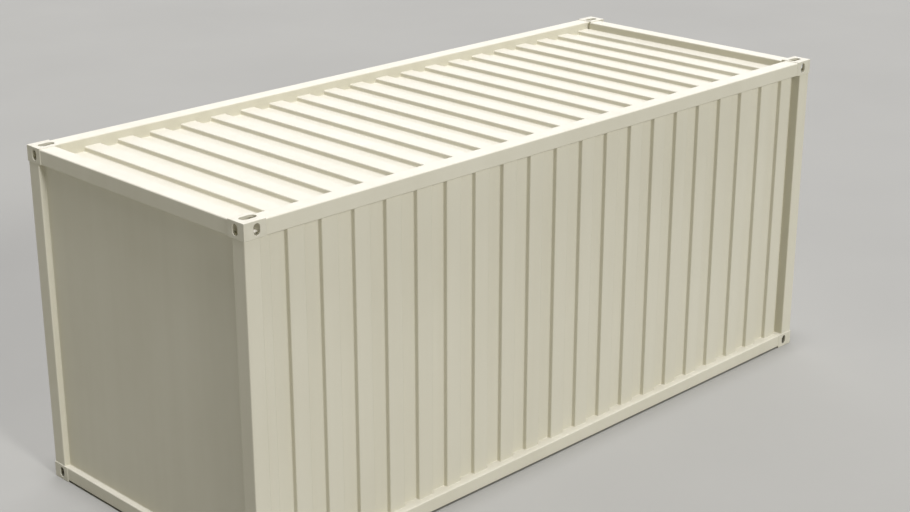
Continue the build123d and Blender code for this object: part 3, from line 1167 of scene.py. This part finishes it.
@dataclass
class Doors:
    """The door end: banded panels, lipped seals and bolted bar guides."""

    groove: float = 0.110
    band_flank: float = 0.025
    band_count: int = 4
    panel_bend: float = 0.010
    lip_shares: Shares = (
        (0.0, 0.10), (0.10, 0.02), (0.28, 0.0), (0.41, 0.05), (0.50, 0.14), (0.59, 0.05),
        (0.72, 0.0), (0.90, 0.02), (1.0, 0.10), (1.0, 1.0), (0.0, 1.0),
    )
    seam_size: float = 0.006
    seam_shares: Shares = ((0.0, -0.8), (0.25, -0.45), (0.34, 0.0), (0.25, 0.45), (0.0, 0.8))
    strap_corner: float = 0.018
    strap_from_leaf_edge: float = 0.006
    gear_weld: float = 0.004
    gear_edge: float = 0.001
    gear_edge_steps: int = 2
    bolt_radius: float = 0.0075
    bolt_from_foot_end: float = 0.0125
    bolt_raise: float = 0.010
    guide_strap: float = 0.006
    bolt_sides: int = 12
    bolt_shares: Shares = ((1.0, -0.1), (1.0, 0.15), (0.88, 0.40), (0.58, 0.57), (0.22, 0.64))

    def build(self) -> None:
        """Make the panels, seals, welds and bolts of both leaves."""
        for side in Side:
            panel = self.panel(side)
            panel.build(f"{side}_door_sheet", [panel.whole()])
            self.weld_panel(side, panel)
            self.build_seal(side)
        self.weld_gear()
        self.build_bolts()

    def panel(self, side: Side) -> FoldedSheet:
        """Lay out one leaf's banded panel.

        Args:
            side: the leaf's side.

        Returns:
            The panel as a folded sheet, with its bands up the door.
        """
        node = f"{side}_door_panel"
        low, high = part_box(node)
        total = high.z - low.z - (self.band_count + 1) * self.groove
        band = total / self.band_count - 2 * self.band_flank
        pitch = band + 2 * self.band_flank + self.groove
        bands = Ribs(low.z + self.groove, pitch, band, self.band_flank)
        return FoldedSheet(node, Axis.Z, Axis.Y, Axis.X, 1.0, bands, bend=self.panel_bend)

    def weld_panel(self, side: Side, panel: FoldedSheet) -> None:
        """Weld a panel into its frame, along its folds at the stiles and straight at the rails.

        Where the panel is sunk, a bead fills the corner. Where it is level with the stile, a low seam
        covers the joint.

        Args:
            side: the leaf's side.
            panel: the panel's sheet.
        """
        bead = WeldBead()
        seam = WeldBead(size=self.seam_size, profile_shares=self.seam_shares)
        piece = Piece(f"{side}_door_welds", Slot.BODY)
        edges = panel.edges(panel.whole())
        for (line, outward), inward in zip(edges, (1.0, -1.0)):
            sunk = panel.face - line[:, Axis.X] > bead.size
            for run in np.split(np.arange(len(line)), np.flatnonzero(np.diff(sunk)) + 1):
                kind = bead if sunk[run[0]] else seam
                run = np.arange(max(run[0] - 1, 0), min(run[-1] + 2, len(line)))
                piece.blocks.append(kind.along(line[run], outward[run], direction(Axis.Y, inward)))
        piece.blocks += bead.across_ends(edges, Axis.Z)
        piece.build()

    def build_seal(self, side: Side) -> None:
        """Make one leaf's rubber seal: a profile with two round lips carried around the leaf.

        A profile point lies a share of the gap out from the leaf's edge and a share of the depth back from
        the seal's face, and its ring is the leaf's outline set out by that much, mitred at the corners.

        Args:
            side: the leaf's side.
        """
        node = f"{side}_door_seal"
        low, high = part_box(node)
        leaf_low, leaf_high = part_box(f"{side}_door_frame")
        out_share, back_share = np.array(self.lip_shares).T
        out = (high.z - leaf_high.z) * out_share
        sign = np.array([(-1, -1), (1, -1), (1, 1), (-1, 1)])
        corners = np.where(sign > 0, leaf_high.yz, leaf_low.yz)
        points = np.empty((len(corners), len(out), 3))
        points[..., Axis.X] = high.x - (high.x - low.x) * back_share
        points[..., Axis.X.others()] = corners[:, None] + sign[:, None] * out[:, None]
        Piece(f"{side}_lipped_seal", Slot.SEAL, [carried(points, ring=True)]).build(node)

    def weld_gear(self) -> None:
        """Weld the hinge straps and catches to the leaves, and the keepers to the sill and header."""
        bead = WeldBead(size=self.gear_weld)
        piece = Piece("gear_welds", Slot.BODY)
        face = Face(Axis.X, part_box("left_door_frame")[1].x, 1.0)
        for side in Side:
            for strap in solid_boxes(f"{side}_hinge_straps"):
                piece.blocks.append(bead.on_face(*self.strap_path(side, strap), face))
        for node in ("handle_catches", "sill_keepers", "header_keepers"):
            for box in solid_boxes(node):
                piece.blocks.append(bead.framing(box, face, self.gear_edge))
        piece.build()

    def strap_path(self, side: Side, strap: Box) -> Line:
        """Return the line around a hinge strap on its leaf: out along one edge, round the end and back.

        Args:
            side: the leaf's side.
            strap: the strap's lowest and highest corner.

        Returns:
            The line's points across and up, and the ways out from the strap.
        """
        leaf_low, leaf_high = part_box(f"{side}_door_frame")
        (_, lowest, bottom), (_, highest, top) = strap
        edge, end = (leaf_low.y, highest) if side is Side.LEFT else (leaf_high.y, lowest)
        start = edge + side.inward * self.strap_from_leaf_edge
        before_end = end - side.inward * self.strap_corner
        across = [start, before_end, end, end, before_end, start]
        up = [bottom, bottom, bottom + self.strap_corner, top - self.strap_corner, top, top]
        corners = np.stack([across, up], axis=-1)
        path, normals = rounded_path(corners, self.gear_edge, self.gear_edge_steps, self.gear_edge)
        return path, -side.inward * normals

    def build_bolts(self) -> None:
        """Put four round-headed bolts through the feet of every bar guide.

        A head is its profile turned about X: at the angle t its points lie r cos t and r sin t from the
        bolt's middle, with the height along X.
        """
        guides = solid_boxes("bar_guides")
        across = guides[:, :, Axis.Y] + np.array([1, -1]) * self.bolt_from_foot_end
        up = guides[:, :, Axis.Z].mean(axis=1)[:, None] + np.array([-1, 1]) * self.bolt_raise
        foot = guides[:, 0, Axis.X] + self.guide_strap
        shares = np.array(self.bolt_shares)
        turn = np.linspace(0, 2 * np.pi, self.bolt_sides, endpoint=False)
        radius = self.bolt_radius * shares[:, :1]
        height = np.broadcast_to(self.bolt_radius * shares[:, 1:], (len(shares), self.bolt_sides))
        head = np.stack([height, radius * np.cos(turn), radius * np.sin(turn)], axis=-1)
        places = [(x, y, z) for x, row, column in zip(foot, across, up) for y in row for z in column]
        Piece("guide_bolts", Slot.BARS, [carried(head + np.array(place)) for place in places]).build()


# Studio

@dataclass(frozen=True)
class DistantLight:
    """A broad, distant light: its way, its strength on a face square to it, how wide it looks, its tint."""

    name: str
    way: Point
    strength: float
    softness: float
    tint: Colour

    def build(self) -> None:
        """Hang the light."""
        data = bpy.data.lights.new(self.name, "SUN")
        data.energy = self.strength
        data.color = self.tint
        data.angle = self.softness
        light = bpy.data.objects.new(self.name, data)
        light.rotation_mode = "QUATERNION"
        light.rotation_quaternion = Vector(self.way).to_track_quat("-Z", "Y")
        bpy.context.scene.collection.objects.link(light)


@dataclass
class Studio:
    """Camera, light and floor.

    The roof is lit from above and the long side from before it. Both of these lights lean a little towards
    +X, so that they reach into the frame of the front end.
    """

    eye: Point = (-9.0098, -9.0116, 5.9383)
    forward: Point = (0.66447, 0.66412, -0.34267)
    angle_across: float = math.radians(30.011)
    far_clip: float = 400.0
    floor_half: float = 90.0
    lights: tuple[DistantLight, ...] = (
        DistantLight("overhead_light", (0.03, 0.02, -1.0), 3.1, math.radians(12), (1.0, 1.0, 1.16)),
        DistantLight("side_light", (0.08, 1.0, -0.45), 1.68, math.radians(10), (1.0, 1.0, 1.06)),
        DistantLight("back_fill", (-1.0, -0.8, -0.6), 1.1, math.radians(60), (1.0, 1.0, 1.06)),
    )
    surround: float = 0.22
    surround_tint: Colour = (1.0, 0.985, 0.88)

    def build(self) -> None:
        """Set up the whole studio."""
        self.place_camera()
        for light in self.lights:
            light.build()
        self.make_surround()
        self.lay_floor()

    def place_camera(self) -> None:
        """Place the camera where the photograph was taken from."""
        data = bpy.data.cameras.new("camera")
        data.sensor_fit = "HORIZONTAL"
        data.angle = self.angle_across
        data.clip_end = self.far_clip
        camera = bpy.data.objects.new("camera", data)
        camera.rotation_mode = "QUATERNION"
        camera.rotation_quaternion = Vector(self.forward).to_track_quat("-Z", "Y")
        camera.location = self.eye
        bpy.context.scene.collection.objects.link(camera)
        bpy.context.scene.camera = camera

    def make_surround(self) -> None:
        """Put an even, pale surround behind everything and show colours as they are."""
        world = bpy.data.worlds.new("surround")
        world.use_nodes = True
        background = world.node_tree.nodes["Background"]
        background.inputs["Color"].default_value = (*self.surround_tint, 1.0)
        background.inputs["Strength"].default_value = self.surround
        bpy.context.scene.world = world
        bpy.context.scene.view_settings.view_transform = "Standard"

    def lay_floor(self) -> None:
        """Lay the floor under the castings' feet."""
        corners = self.floor_half * np.array([(-1, -1, 0), (1, -1, 0), (1, 1, 0), (-1, 1, 0)], float)
        mesh = bpy.data.meshes.new("studio_floor")
        mesh.from_pydata(corners.tolist(), [], [(0, 1, 2, 3)])
        mesh.materials.append(PaleFloor().material())
        ground = bpy.data.objects.new("studio_floor", mesh)
        bpy.context.scene.collection.objects.link(ground)


def main() -> None:
    """Dress the container and set up the studio around it."""
    logging.basicConfig(level=logging.INFO, format="%(name)s: %(message)s")
    dress_nodes()
    Shell().build()
    Castings().build()
    CornerWelds().build()
    BeamEnds().build()
    Doors().build()
    Studio().build()


if __name__ == "__main__":
    main()
